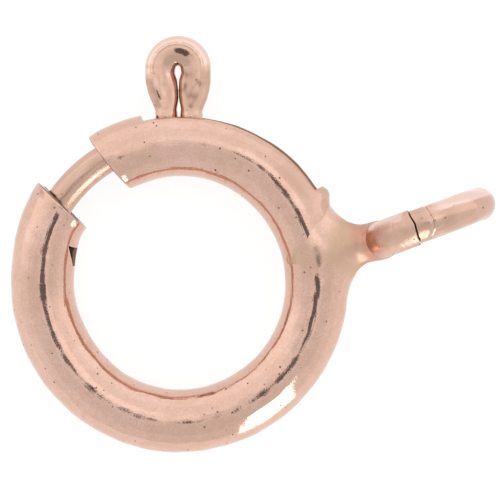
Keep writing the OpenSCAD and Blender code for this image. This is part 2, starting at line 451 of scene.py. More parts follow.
def lay_down(bm, name, material):
    """Makes a piece of a mesh, laid as it rests, in metres."""
    bmesh.ops.transform(bm, matrix=tilt_matrix() @ Matrix.Scale(MM, 4), verts=bm.verts)
    mesh = bpy.data.meshes.new(name)
    bm.to_mesh(mesh)
    bm.free()
    mesh.polygons.foreach_set("use_smooth", [True] * len(mesh.polygons))
    mesh.materials.append(material)
    piece = bpy.data.objects.new(name, mesh)
    bpy.context.scene.collection.objects.link(piece)
    return piece


# Tube

# Where shapes of the tube fade out, in degrees from the middle of the gap or from a cut end
LOWER_SPREAD_FADE = (20, 42)
UPPER_SPREAD_FADE = (45, 105)
FLARE_FADE = (5, 45)
DENT_FADE = (0, 9)
LOWER_FLARE_REACH = 11
CUT_REACH = 9
WINDOW_REACH = 12
SLOT_REACH = 8
END_REACH = 8

# Stretches along the tube and bands around its section, by their middle and reach in degrees
LIP_STRETCH = (61, 40)
LIP_BAND = (58, 60)
LIFT_STRETCH = (43, 22)
FLAT_STRETCH = (212, 38)
WIDE_STRETCH = (50, 16)
CREST_BAND = (90, 26)
BURR_PAST = 2.5
BURR_REACH = 4.5

# How far the front of the tube lies below a true round, all along it and more in the wide stretch
CREST_FLAT = 0.003
WIDE_FLAT = 0.004

# Dents of the wall: how many to a millimetre, and their share of the ripple, with finer ones at the cut ends
DENTS = ((0.8, 1.0), (2.7, 0.7), (5.5, 0.38))
END_DENTS = 4.5

# Steps of the tube's mesh along it and around it, in degrees, and the depths in the wall, as shares of it,
# between which its inner side and cut faces turn dark: partly dark oxide, partly painted shade in the bore
TUBE_STEP = 1.1
SECTION_STEP = 5
DARK_DEPTHS = (0.02, 0.06)


def gap_distance(size, direction):
    """Angle from the middle of the gap to a direction, the short way round."""
    away = (direction - size.ring.gap_dir) % (2 * math.pi)
    return min(away, 2 * math.pi - away)


def tube_shift(size, direction):
    """How far the tube's middle line stands outwards near the gap."""
    distance = gap_distance(size, direction)
    if (direction - size.ring.gap_dir) % (2 * math.pi) < math.pi:
        return size.ring.lower_spread * fade(LOWER_SPREAD_FADE, distance)
    return size.ring.spread * fade(UPPER_SPREAD_FADE, distance)


def tube_swell(size, direction, around):
    """How far the tube's wall stands out from a true round."""
    ring, slot = size.ring, size.slot
    flat = direction % (2 * math.pi)
    from_upper = abs(flat - (ring.gap_dir - size.gap_half))
    from_lower = abs(flat - (ring.gap_dir + size.gap_half))
    from_outer = abs(around - 2 * math.pi * round(around / 2 / math.pi))
    outer = max(0.0, math.cos(around)) ** 4
    inner = ((1 - math.cos(around)) / 2) ** 2
    crest = within(CREST_BAND, around % (2 * math.pi))
    burr_at = size.slot_from - math.radians(BURR_PAST)

    swell = ring.flare / 2 * fade(FLARE_FADE, from_upper) * math.cos(2 * around)
    swell += ring.lower_flare * max(0.0, 1 - from_lower / math.radians(LOWER_FLARE_REACH)) ** 2
    swell += slot.lip * within(LIP_STRETCH, flat) * within(LIP_BAND, from_outer)
    swell += slot.lift * within(LIFT_STRETCH, flat) * outer
    swell += slot.burr * hump(burr_at, math.radians(BURR_REACH), flat) * outer
    swell += ring.flat * within(FLAT_STRETCH, flat) * inner
    swell -= (CREST_FLAT + WIDE_FLAT * within(WIDE_STRETCH, flat)) * crest

    spot = ring_point(direction, size.mid_r + size.tube_r * math.cos(around), size.tube_r * math.sin(around))
    dents = fade(DENT_FADE, min(from_upper, from_lower)) * noise.noise(spot * END_DENTS)
    dents += sum(share * noise.noise(spot * per_mm) for per_mm, share in DENTS)
    return swell + ring.ripple * dents


def tube_point(size, direction, around):
    """A point of the tube's outer wall, around being counted from its outer side."""
    ring = size.ring
    section_r = size.tube_r + tube_swell(size, direction, around)
    radius = size.mid_r + section_r * math.cos(around)
    height = section_r * math.sin(around)
    near = math.radians(CUT_REACH)
    at_first = 1 - ease(size.tube_from, size.tube_from + near, direction)
    at_last = ease(size.tube_to - near, size.tube_to, direction)
    half = gap_half_angle(size, radius) - size.mid_half
    lean = math.tan(ring.cut_lean) * height / radius
    heading = direction + half * at_first - half * at_last - lean * at_first
    return ring_point(heading, radius + tube_shift(size, direction), height)


def tube_angles(size, point):
    """Direction, angle around the section and section radius of a point of the tube."""
    direction = math.atan2(point.y, point.x) % (2 * math.pi)
    out = math.hypot(point.x, point.y) - size.mid_r - tube_shift(size, direction)
    return direction, math.atan2(point.z, out), math.hypot(point.z, out)


def window_top(size, direction):
    """Angle above the middle of the tube that the stop's window reaches."""
    cut = math.asin(size.slot.stop_w / 2 / size.tube_r)
    root = math.asin(size.slot.stop_root_w / 2 / size.tube_r)
    return cut + (root - cut) * clamp((direction - size.stop_dir) / (size.stop_to - size.stop_dir))


def slide_to_window(size, direction, around):
    """Slides the lines along the tube so that one of them follows the window's upper side."""
    above = math.pi - around
    low, limit = -size.slot.stop_low, math.pi / 2
    if not low < above < limit:
        return around
    widest = window_top(size, size.stop_dir)
    past = ease(size.stop_to, size.stop_to + math.radians(WINDOW_REACH), direction)
    wanted = window_top(size, direction)
    wanted += (widest - wanted) * past
    if above <= widest:
        return math.pi - low - (above - low) * (wanted - low) / (widest - low)
    return math.pi - wanted - (above - widest) * (limit - wanted) / (limit - widest)


def level_slot(bm, size):
    """Slides the inner wall round the bore, so that the slot's sides are cut level as a saw leaves them."""
    outer_side = size.slot_side
    lowered = 2 * size.ring.wall * math.tan(size.slot.side_lean)
    middle, half = (size.slot_from + size.slot_to) / 2, (size.slot_to - size.slot_from) / 2
    for vert in bm.verts:
        direction, around, section_r = tube_angles(size, vert.co)
        if section_r > size.tube_r + tube_swell(size, direction, around) - size.ring.wall / 2:
            continue
        beside = 1 - ease(half, half + math.radians(SLOT_REACH), abs(direction - middle))
        lip_r = size.tube_r + tube_swell(size, direction, outer_side)
        inner_side = math.asin((lip_r * math.sin(outer_side) - lowered) / section_r)
        if abs(around) <= outer_side:
            wanted = abs(around) * inner_side / outer_side
        else:
            past = (abs(around) - outer_side) / (math.pi - outer_side)
            wanted = inner_side + (math.pi - inner_side) * past
        slid = math.copysign(abs(around) + (wanted - abs(around)) * beside, around)
        radius = size.mid_r + tube_shift(size, direction) + section_r * math.cos(slid)
        vert.co = ring_point(direction, radius, section_r * math.sin(slid))


def tube_mesh(size):
    """The bent tube with its slot and the window of its stop, as a wall with thickness."""
    ring = size.ring
    full = 2 * math.pi
    slot_side = size.slot_side
    window_side = window_top(size, size.stop_dir)
    stop_low = size.slot.stop_low
    rows = spans(
        [
            size.tube_from, size.stop_dir, size.stop_to,
            full + size.slot_from, full + size.slot_to, size.tube_to,
        ],
        math.radians(TUBE_STEP),
    )
    columns = spans(
        [-slot_side, slot_side, math.pi - window_side, math.pi + stop_low, full - slot_side],
        math.radians(SECTION_STEP),
    )

    def place(direction, around):
        return tube_point(size, direction, slide_to_window(size, direction, around)), 0.0

    bm = skin(rows, columns, place)
    holes = []
    for face in bm.faces:
        direction, around, _ = tube_angles(size, face.calc_center_median())
        above = math.copysign(math.pi - abs(around), around)
        in_slot = size.slot_from < direction < size.slot_to and abs(around) < slot_side
        in_window = -stop_low < above < window_top(size, direction)
        if in_slot or (in_window and size.stop_dir < direction < size.stop_to):
            holes.append(face)
    bmesh.ops.delete(bm, geom=holes, context="FACES")
    thicken(bm, ring.wall)
    level_slot(bm, size)
    end_reach = size.gap_half + math.radians(END_REACH)
    round_edges(
        bm, ring.end_edge,
        lambda point: gap_distance(size, tube_angles(size, point)[0]) < end_reach,
    )
    round_edges(bm, ring.edge, lambda point: True)
    stain_and_painted_light = bm.verts.layers.float[STAIN_AND_PAINTED_LIGHT]
    # Painted shade: the bore and the deeper parts of the slot's cut faces are darkened, partly as dark oxide
    for vert in bm.verts:
        direction, around, section_r = tube_angles(size, vert.co)
        depth = size.tube_r + tube_swell(size, direction, around) - section_r
        vert[stain_and_painted_light] = DIRTY_AND_SHADED * ease(*DARK_DEPTHS, depth / ring.wall)
    return bm


# Stop

# How far the tab laps into the wall around it, how thick it is as a share of the wall, and the steps of its
# mesh along the tube and up it
STOP_LAP = 0.02
STOP_THIN = 0.9
STOP_STEPS = (0.04, 0.1)


def stop_mesh(size):
    """The punched tab of the inner wall, which slopes into the bore and holds the spring's end."""
    slot, ring = size.slot, size.ring
    along_step, up_step = STOP_STEPS
    bottom = -size.tube_r * math.sin(slot.stop_low) - STOP_LAP

    def place(along, raised):
        share = clamp(along / slot.stop_l)
        top = (slot.stop_w + (slot.stop_root_w - slot.stop_w) * share) / 2 + STOP_LAP
        radius = size.inside_r + slot.stop_depth * (1 - share) + STOP_LAP + tube_shift(size, size.stop_dir)
        spot = Vector((radius, along, bottom + (top - bottom) * raised))
        return Matrix.Rotation(size.stop_dir, 3, "Z") @ spot, WORN

    bm = skin(span(0, slot.stop_l + STOP_LAP, along_step), span(0, 1, up_step), place)
    for face in bm.faces:
        if face.normal.dot(face.calc_center_median()) > 0:
            face.normal_flip()
    thicken(bm, ring.wall * STOP_THIN)
    round_edges(bm, ring.edge, lambda point: True)
    return bm


# Eye

# Marks on the eye's wire, in degrees round the eye from its outermost point over its top: two lines across
# it, stretches by their middle and reach, and stretches by the ends between which they fade
WRINKLE = 83
FAINT_CRACK = 118
PATCH_STRETCH = (126, 9)
BROWN_STRETCH = (94, 14)
# The outer half, painted lit on one side and browner as painted shade on the other, fades out between these
TONE_ENDS = (70, 84)
HIGHLIGHT_ENDS = (105, 112)
SWELL_ENDS = (150, 225)

# Heights and depths of its marks, in millimetres
JOINT_ROUND = 0.008
HAMMER_COARSE = 0.012
HAMMER_FINE = 0.003
WRINKLE_DEPTH = 0.006
RIDGE_HEIGHT = 0.004
CRACK_DEPTH = 0.003

# How far from the joint the wire is bent with it, how jagged the joint is, and the steps of the mesh near it
# and elsewhere, all in degrees, and the sides of the wire's section
JOINT_REACH = 30
JOINT_STEP = 0.4
JOINT_JAG = 1.5
EYE_STEP = 1.6
EYE_SIDES = 72


def eye_axes(size):
    """The two level directions of the eye: along its plane, away from the ring, and across it."""
    return ring_point(size.eye.turn, 1.0), ring_point(size.eye.turn + math.pi / 2, 1.0)


def eye_wire_r(size, turned):
    """Radius of the eye's wire, which is thicker between the joint and the neck."""
    joint = math.pi / 2 + size.eye.joint_dir
    near = turned % (2 * math.pi)
    swollen = 0.0 if near < joint else fade(SWELL_ENDS, near)
    return (size.eye.wire_d + size.eye.swell * swollen) / 2


def wrinkle_at(aside, spot):
    """Where the wrinkle beside the joint crosses one side of the wire, in degrees round the eye."""
    return WRINKLE + 6 * aside * aside - 3 * aside * abs(aside) + 1.2 * noise.noise(spot * 5)


def crack_at(aside):
    """Where the faint crack crosses one side of the wire, in degrees round the eye."""
    return FAINT_CRACK + 2.5 * aside


def eye_stain_and_light(bowed, from_end, up, aside, side, spot):
    """How worn and dirty the eye's wire is at a point, with painted shade in its wrinkle and on one side of
    its outer half, and a painted highlight on the other side and past its top; side being its distance from
    the plane of the eye.
    """
    degrees = math.degrees(bowed) % 360
    broken = ease(-0.35, 0.1, noise.noise(spot * 9))
    # Painted shade in the wrinkle beside the joint
    wrinkled = 1.7 * hump(wrinkle_at(aside, spot) - 0.6, 1.1, degrees) * broken * ease(-0.4, 0.1, up)
    cracked = 1.2 * hump(crack_at(aside), 0.9, degrees) * broken * hump(0.05, 0.25, side)
    joint = DIRTY_AND_SHADED * (1 - ease(0.0, math.radians(0.45), from_end))
    patch = 0.7 * hump(*PATCH_STRETCH, degrees) * hump(0, 0.16, side) + 0.5 * hump(*BROWN_STRETCH, degrees)

    from_outermost = abs((degrees + 180) % 360 - 180)
    outer_half = 1 - ease(*TONE_ENDS, from_outermost)
    # Painted highlight and painted shade: on the outer half the wire is lit beyond a line along it and
    # browner before it, and one side past the top gets a painted highlight too
    tone_edge = 0.137 - 0.065 * math.cos(bowed)
    beyond_edge = ease(-0.01, 0.015, side - tone_edge)
    browner = 0.55 * outer_half * (1 - beyond_edge)
    lit = max(0.8 * outer_half * beyond_edge, 0.7 * ease(0.15, 0.22, side) * ease(*HIGHLIGHT_ENDS, degrees))
    return max(wrinkled, cracked, joint, patch, browner) - lit


def eye_mesh(size):
    """The upright ring of wire, whose ends meet near its top."""
    eye = size.eye
    outward, across = eye_axes(size)
    joint = math.pi / 2 + eye.joint_dir
    half_joint = eye.joint_w / 2 / size.eye_mid_r
    first, last = joint + half_joint, joint + 2 * math.pi - half_joint
    reach, fine_step = math.radians(JOINT_REACH), math.radians(JOINT_STEP)
    rows = span(first, first + reach, fine_step)
    rows += span(first + reach, last - reach, math.radians(EYE_STEP))[1:]
    rows += span(last - reach, last, fine_step)[1:]

    def place(turned, around):
        from_end = min(turned - first, last - turned)
        up, aside = math.cos(around), math.sin(around)
        jagged = noise.noise(Vector((up * 2, aside * 2, 0))) * math.radians(JOINT_JAG)
        bowed = turned - (eye.joint_bow * up + jagged) * (1 - ease(0, reach, from_end))
        degrees = math.degrees(bowed) % 360
        spot = size.eye_at + outward * math.cos(bowed) * size.eye_mid_r
        spot.z += math.sin(bowed) * size.eye_mid_r
        spoke = outward * math.cos(bowed) + Vector((0, 0, math.sin(bowed)))
        heading = spoke * up + across * aside

        radius = eye_wire_r(size, turned) - JOINT_ROUND * (1 - ease(0, 2 * fine_step, from_end)) ** 2
        radius += HAMMER_COARSE * noise.noise(spot * 2.3 + spoke * up)
        radius += HAMMER_FINE * noise.noise(spot * 7 + heading * 2)
        wrinkle = wrinkle_at(aside, spot)
        radius -= WRINKLE_DEPTH * hump(wrinkle, 2.2, degrees)
        radius += RIDGE_HEIGHT * hump(wrinkle + 3.5, 2.6, degrees)
        radius -= CRACK_DEPTH * hump(crack_at(aside), 1.5, degrees)
        return spot + heading * radius, eye_stain_and_light(bowed, from_end, up, aside, aside * radius, spot)

    bm = skin(rows, turn(EYE_SIDES), place)
    close_ends(bm)
    return bm


# Neck

# Where the solder's stalk starts, and the rays that find its skin, past the tube's middle line
STALK_FROM = 0.34
RAYS_FROM = 0.31

# Lean of the first and last ray from the neck's middle line, in degrees, level and then upright
FIRST_LEAN = (16.5, 24)
LAST_LEAN = (86, 158)

# How much the solder's spread varies and how much less it is over the tube's front and back, as shares of it,
# and how thick the solder's skin is, in millimetres
LUMPS = 0.12
FRONT_LESS = 0.15
SKIN_W = 0.03

# Rows and columns of the skin, and how a ray is followed: how often, by what share of the distance left, and
# how near it has to come
SKIN_ROWS = 44
SKIN_SIDES = 112
RAY_TRIES = 60
RAY_STEP = 0.8
RAY_NEAR = 0.00005


def smooth_union(first, second, spread):
    """The lower of two distances, filled out where they are nearly the same."""
    near = max(spread - abs(first - second), 0.0) / spread
    return min(first, second) - near ** 2 * spread / 4


def solder_field(size, point):
    """Distance from a point to the soldered metal of tube, stalk and eye, below 0 inside it."""
    neck = size.neck
    tube = math.hypot(math.hypot(point.x, point.y) - size.mid_r, point.z) - size.tube_r + neck.sink
    axis = ring_point(size.neck_dir, 1.0)
    along = clamp(point.dot(axis), size.mid_r + STALK_FROM, size.neck_end)
    stalk = (point - axis * along).length - neck.stalk_d / 2
    outward, across = eye_axes(size)
    reach = point - size.eye_at
    level, turned = reach.dot(outward), math.atan2(reach.z, reach.dot(outward))
    eye = math.hypot(math.hypot(level, reach.z) - size.eye_mid_r, reach.dot(across))
    eye -= eye_wire_r(size, turned) - neck.sink
    lumpy = noise.noise(point * 2.4) * 0.5 + noise.noise(point * 6.1) * 0.22
    stem = smooth_union(stalk, eye, neck.eye_spread)
    spread = neck.spread * (1 - FRONT_LESS * ease(0.15, 0.5, abs(point.z)))
    return smooth_union(tube, stem, spread * (1 + LUMPS * lumpy))


def neck_mesh(size):
    """The skin of solder that runs from the tube over the stalk to the eye, found along rays from inside."""
    axis = ring_point(size.neck_dir, 1.0)
    side = ring_point(size.neck_dir + math.pi / 2, 1.0)
    up = Vector((0, 0, 1))
    start = axis * (size.mid_r + RAYS_FROM)

    def place(share, around):
        upright = math.sin(around) ** 2
        nearest, farthest = [
            math.radians(level + (steep - level) * upright) for level, steep in (FIRST_LEAN, LAST_LEAN)
        ]
        lean = nearest + (farthest - nearest) * share ** 1.35
        ray = axis * math.cos(lean) + (side * math.cos(around) + up * math.sin(around)) * math.sin(lean)
        reach = 0.0
        for _ in range(RAY_TRIES):
            gap = -solder_field(size, start + ray * reach)
            reach += gap * RAY_STEP
            if abs(gap) < RAY_NEAR:
                break
        return start + ray * reach, 0.0

    bm = skin(span(0, 1, 1 / SKIN_ROWS), turn(SKIN_SIDES), place)
    thicken(bm, SKIN_W)
    return bm


# Tongue

# Steps along the wire in the bore and over the trigger, in millimetres, and steps round it at its front, at
# its edges and at its back, in degrees, with the reach of the edges
BORE_STEP = 0.035
TRIGGER_STEP = 0.02
ROUND_STEPS = (2, 5, 8)
EDGE_BAND = 10

# How the wire is pressed: from and to what height past the ring, how square its section becomes, and by what
# share its feet are pinched together
PRESSED_FROM = -0.02
PRESSED_TO = 0.14
SQUARENESS = 0.4
PINCH = 0.21

# How long the round of the wire's ends is, as a share of its radius
END_ROUND = 0.9

# The scuffed place of the tongue, by its middle and reach: in degrees round the ring, and in millimetres from
# the ring's centre
SCUFF_STRETCH = (124.5, 5)
SCUFF_RADII = (2.6, 0.1)


class Pen:
    """Draws the middle line of a wire in the plane of the ring, in short steps."""

    def __init__(self, at, heading, step):
        self.at = at
        self.heading = heading
        self.step = step
        self.stations = [(at, heading)]

    def line(self, distance):
        """Draws straight on."""
        for run in span(0, distance, self.step)[1:]:
            self.stations.append((self.at + ring_point(self.heading, run), self.heading))
        self.at = self.stations[-1][0]

    def arc(self, radius, bend):
        """Draws a bend, to the left where it is above 0."""
        hand = math.copysign(1, bend)
        centre = self.at + ring_point(self.heading + math.pi / 2 * hand, radius)
        first = self.heading
        for turned in span(0, bend, self.step / radius)[1:]:
            heading = first + turned
            self.stations.append((centre - ring_point(heading + math.pi / 2 * hand, radius), heading))
        self.at, self.heading = self.stations[-1]


def tongue_line(size):
    """Stations of the tongue's wire, from its tip over the trigger to its tail."""
    trigger, path_r = size.trigger, size.path_r
    bend = size.foot_dir + trigger.leg_lean
    pen = Pen(ring_point(size.tip_dir, path_r), size.tip_dir - math.pi / 2, BORE_STEP)
    pen.arc(path_r, -(size.tip_dir - trigger.direction - size.foot_half))
    pen.step = TRIGGER_STEP
    pen.arc(trigger.foot_bend_r, bend)
    pen.line(size.leg_l)
    pen.arc(size.loop_r, -(math.pi + 2 * trigger.leg_lean))
    pen.line(size.leg_l)
    pen.arc(trigger.foot_bend_r, bend)
    pen.step = BORE_STEP
    pen.arc(path_r, -size.tongue.tail_l / path_r)
    return pen.stations


# Sections down a leg of the trigger: share of the leg, then the wire's outer and inner half-widths,
# both as shares of its pressed width
LEG_SECTIONS = (
    (0.00, 0.520, 0.620),
    (0.12, 0.550, 0.560),
    (0.28, 0.585, 0.600),
    (0.50, 0.575, 0.565),
    (0.65, 0.540, 0.525),
    (0.75, 0.490, 0.490),
    (0.84, 0.450, 0.440),
    (0.92, 0.415, 0.410),
    (1.00, 0.430, 0.420),
)

# Creases of the pressed trigger: ends from the middle of its loop, half-width and depth, in millimetres,
# and how dark they are painted, as painted shade in the creases
CREASES = (
    ((-0.46, -0.08), (-0.31, -0.15), 0.030, 0.0030, 1.2),
    ((-0.31, -0.15), (-0.30, -0.55), 0.070, 0.0006, 1.25),
    ((0.31, -0.24), (0.44, -0.18), 0.030, 0.0030, 1.2),
    ((0.33, -0.28), (0.26, -0.62), 0.070, 0.0020, 1.5),
    ((-0.42, -0.64), (-0.38, -0.66), 0.045, 0.0050, 1.7),
    ((0.31, -0.66), (0.36, -0.65), 0.045, 0.0050, 1.6),
)

# Lines pressed along the trigger's rim, by their distance from its edge: half-width, depth, the half-width of
# the painted shade in them and how dark it is
RIM_LINES = (
    (0.150, 0.020, 0.0020, 0.013, 1.75),
    (0.112, 0.020, 0.0015, 0.012, 1.2),
)

# Inside the rim the face slopes down, and so does the facet along the left leg's inner edge
RIM_W = 0.15
RIM_SLOPE = 0.12
FACET_W = 0.15
FACET_SLOPE = 0.28

# How far the face is crumpled: all over it, and how much more down the right leg and the left one
CRUMPLE = 0.004
CRUMPLE_RIGHT = 0.004
CRUMPLE_LEFT = -0.002


def between(rows, share, column):
    """A value of a table's column at a share, in a straight line between its rows."""
    for low, high in zip(rows, rows[1:]):
        if share <= high[0]:
            part = clamp((share - low[0]) / (high[0] - low[0]))
            return low[column] + (high[column] - low[column]) * part
    return rows[-1][column]


def crease(point, first, last, width):
    """1 on the line between two points of the plane, and a smooth fall to 0 at a width beside it."""
    run = last - first
    share = clamp((point - first).dot(run) / run.length_squared)
    return 1 - ease(0, width, (point - first - run * share).length)


def facet_height(below):
    """1 where the left leg has its facet, at a height below the middle of the loop."""
    return ease(-0.03, 0.1, below) * ease(0.36, 0.18, below)


def loop_creases(size):
    """The creases of the trigger with their ends in the plane of the ring."""
    middle = Vector((0, size.loop_y))
    return [(Vector(first) + middle, Vector(last) + middle, *marks) for first, last, *marks in CREASES]


def press_marks(size, flat, across, outer, inner, left):
    """How far the face of the pressed trigger lies below a smooth one."""
    below = size.loop_y - flat.y
    rim = outer - across
    marks = sum(depth * hump(at, half, rim) for at, half, depth, _, _ in RIM_LINES)
    marks *= 1 - ease(0.05, 0.3, below)
    marks += RIM_SLOPE * max(0.0, rim - RIM_W)
    if left:
        marks += FACET_SLOPE * max(0.0, FACET_W - (inner + across)) * facet_height(below)
    for first, last, width, depth, _ in loop_creases(size):
        marks += depth * crease(flat, first, last, width)
    crumpled = CRUMPLE + (CRUMPLE_LEFT if left else CRUMPLE_RIGHT) * ease(0.2, 0.6, below)
    return marks + crumpled * noise.noise(Vector((flat.x * 6, flat.y * 4, 1.5)))


def press_stain_and_light(size, flat, across, outer, inner, left):
    """How worn and dirty the face of the pressed trigger is, with painted shade in its grooves and along the
    right side of its slit, and a painted highlight on the left leg's facet.
    """
    below = size.loop_y - flat.y
    rim = outer - across
    inside_rim = ease(0.13, 0.16, rim)
    from_slit = inner + across
    speck = noise.noise(Vector((flat.x * 11, flat.y * 8, 4.0)))
    loop_stain = 0.75 * inside_rim
    rubbed_and_highlit = 0.7 * (1 - inside_rim)
    if left:
        leg = ease(0.05, 0.25, below)
        leg_stain = 0.8 - 0.1 * inside_rim
        # Painted highlight on the facet along the left leg's inner edge
        rubbed_and_highlit += 1.3 * facet_height(below) * (1 - ease(0.12, 0.16, from_slit))
        slit_shade = 0.0
    else:
        leg = ease(-0.12, 0.1, below)
        leg_stain = 0.9 + 0.35 * inside_rim
        # Painted shade along the right side of the slit
        slit_shade = 0.2 * (1 - ease(0.02, 0.05, from_slit))
    stain_and_painted_light = loop_stain * (1 - leg) + (leg_stain + 0.6 * speck) * leg
    # Painted shade in the pressed lines of the rim and in the creases
    line = sum(mark * hump(at, half, rim) for at, _, _, half, mark in RIM_LINES)
    stain_and_painted_light = max(stain_and_painted_light, line * (1 - ease(0.05, 0.25, below)) * ease(-0.3, 0.0, speck))
    for first, last, width, _, mark in loop_creases(size):
        stain_and_painted_light = max(stain_and_painted_light, mark * crease(flat, first, last, width * 0.7) * ease(-0.6, -0.1, speck))
    return stain_and_painted_light + slit_shade - rubbed_and_highlit * (1 - leg)


def tongue_mesh(size):
    """One wire: tongue, hairpin trigger pressed flat, and tail."""
    trigger, wire_r = size.trigger, size.wire_r
    stations = tongue_line(size)
    foot_y = size.outside_r
    leg_h = size.loop_y - foot_y
    count = len(stations)
    runs = [0.0]
    for (first, _), (last, _) in zip(stations, stations[1:]):
        runs.append(runs[-1] + (last - first).length)

    def place(index, around):
        spot, heading = stations[index]
        spot = spot.copy()
        left = index < count / 2
        out = ring_point(heading + math.pi / 2, 1.0)
        distance = math.hypot(spot.x, spot.y)
        pressed = ease(foot_y + PRESSED_FROM, foot_y + PRESSED_TO, distance)
        foot = ease(size.path_r + 0.04, foot_y - 0.12, distance)
        leg = (size.loop_y - spot.y) / leg_h
        if distance > size.path_r + 0.02:
            spot.x *= 1 - PINCH * ease(-0.2, 1.0, leg) * foot
        outer, inner = [
            wire_r + (between(LEG_SECTIONS, clamp(leg), side) * trigger.press_w - wire_r) * foot
            for side in (1, 2)
        ]
        thick = wire_r + (trigger.press_t / 2 - wire_r) * pressed
        power = 2 / (2 + SQUARENESS * pressed)
        from_end = clamp(min(runs[index], runs[-1] - runs[index]) / (wire_r * END_ROUND))
        round_end = 0.0 if index in (0, count - 1) else math.sqrt(1 - (1 - from_end) ** 2)

        aside, above = math.cos(around), math.sin(around)
        across = math.copysign(abs(aside) ** power, aside) * (outer if aside > 0 else inner) * round_end
        height = math.copysign(abs(above) ** power, above) * thick * round_end
        point = spot + out * across
        flat = Vector((point.x, point.y))
        scuffed = within(SCUFF_STRETCH, math.atan2(flat.y, flat.x)) * hump(*SCUFF_RADII, flat.length)
        stain_and_painted_light = 1.1 * scuffed
        if pressed > 0:
            marks = press_marks(size, flat, across, outer, inner, left)
            height -= math.copysign(marks * pressed, above) * abs(above) ** 0.5
            stain_and_painted_light = press_stain_and_light(size, flat, across, outer, inner, left) * pressed

        rise = max(0.0, point.y - foot_y)
        bowed = rise * ease(0, 0.25, rise) * math.tan(trigger.bow)
        skewed = point.x * math.tan(trigger.skew) * ease(0, 0.5, rise)
        height -= (bowed + skewed) * pressed
        point.x -= trigger.aside * ease(0, leg_h, rise)
        return point + Vector((0, 0, height)), stain_and_painted_light

    front_step, edge_step, back_step = [math.radians(step) for step in ROUND_STEPS]
    edge = math.radians(EDGE_BAND)
    columns = span(0, edge, edge_step) + span(edge, math.pi - edge, front_step)[1:]
    columns += span(math.pi - edge, 2 * math.pi, back_step)[1:]
    bm = skin(list(range(count)), columns, place)
    return bm


# Spring

# Sides of each turn of the coil and of its wire
TURN_SIDES = 20
COIL_SIDES = 8


def spring_mesh(size):
    """The coil in the tube, from the stop to the tongue's tail."""
    spring = size.spring
    coil_r = size.bore_r - spring.play - spring.wire_d / 2
    slack = spring.end_play + spring.wire_d / 2
    first = size.stop_dir - 2 * math.pi + (size.slot.stop_l + slack) / size.inside_r
    last = size.tail_dir - slack / size.mid_r
    turns = math.floor((last - first) * size.mid_r / spring.pitch)
    advance = (last - first) * size.mid_r / (2 * math.pi * turns * coil_r)
    up = Vector((0, 0, 1))

    def place(wound, around):
        direction = first + (last - first) * wound / turns
        out, forward = ring_point(direction, 1.0), ring_point(direction + math.pi / 2, 1.0)
        angle_here = 2 * math.pi * wound
        spoke = out * math.cos(angle_here) + up * math.sin(angle_here)
        rim = up * math.cos(angle_here) - out * math.sin(angle_here)
        heading = (rim + forward * advance).normalized()
        lift = heading.cross(spoke)
        middle = ring_point(direction, size.mid_r) + spoke * coil_r
        return middle + (spoke * math.cos(around) + lift * math.sin(around)) * spring.wire_d / 2, 0.0

    bm = skin(span(0, turns, 1 / TURN_SIDES), turn(COIL_SIDES), place)
    close_ends(bm)
    return bm


# Shader expressions

class Signal:
    """A socket of a shader, with the arithmetic that finishes are written in."""

    def __init__(self, finish, socket):
        self.finish = finish
        self.socket = socket

    def math(self, operation, *others):
        """A Math node on this signal, and on the others after it."""
        sockets = dict(enumerate((self, *others)))
        return self.finish.signal("ShaderNodeMath", {"operation": operation}, sockets)

    def __add__(self, other):
        return self.math("ADD", other)

    __radd__ = __add__

    def __sub__(self, other):
        return self.math("SUBTRACT", other)

    def __rsub__(self, other):
        return self * -1 + other

    def __mul__(self, other):
        return self.math("MULTIPLY", other)

    __rmul__ = __mul__

    def __truediv__(self, other):
        return self.math("DIVIDE", other)

    def __pow__(self, other):
        return self.math("POWER", other)

    def rise(self, low, high):
        """0 below low, 1 above high, and a smooth rise between them."""
        return self.finish.signal(
            "ShaderNodeMapRange", {"interpolation_type": "SMOOTHSTEP"},
            {"Value": self, "From Min": low, "From Max": high},
        )


class Finish:
    """The nodes of one material or of the world."""

    def __init__(self, tree):
        self.tree = tree
        tree.nodes.clear()

    def node(self, kind, settings, sockets):
        """A node of a kind, with its settings, and with values or signals on its sockets."""
        node = self.tree.nodes.new(kind)
        for name, value in settings.items():
            setattr(node, name, value)
        for name, value in sockets.items():
            if isinstance(value, Signal):
                self.tree.links.new(value.socket, node.inputs[name])
            else:
                node.inputs[name].default_value = value
        return node

    def signal(self, kind, settings, sockets, output=0):
        """One output of a new node."""
        return Signal(self, self.node(kind, settings, sockets).outputs[output])

    def mix(self, share, first, second):
        """A colour between two colours."""
        first, second = [
            value if isinstance(value, Signal) else (*value, 1.0) for value in (first, second)
        ]
        return self.signal("ShaderNodeMix", {"data_type": "RGBA"}, {0: share, 6: first, 7: second}, 2)

    def clouds(self, vector, scale, detail=3.0, roughness=0.55):
        """Soft noise around 0.5, of a scale to the millimetre."""
        sockets = {"Vector": vector, "Scale": scale, "Detail": detail, "Roughness": roughness}
        return self.signal("ShaderNodeTexNoise", {}, sockets)

    def parts(self, vector):
        """The three parts of a vector."""
        node = self.node("ShaderNodeSeparateXYZ", {}, {0: vector})
        return [Signal(self, socket) for socket in node.outputs]

    def vector(self, x, y, z):
        """A vector from three parts."""
        return self.signal("ShaderNodeCombineXYZ", {}, {0: x, 1: y, 2: z})


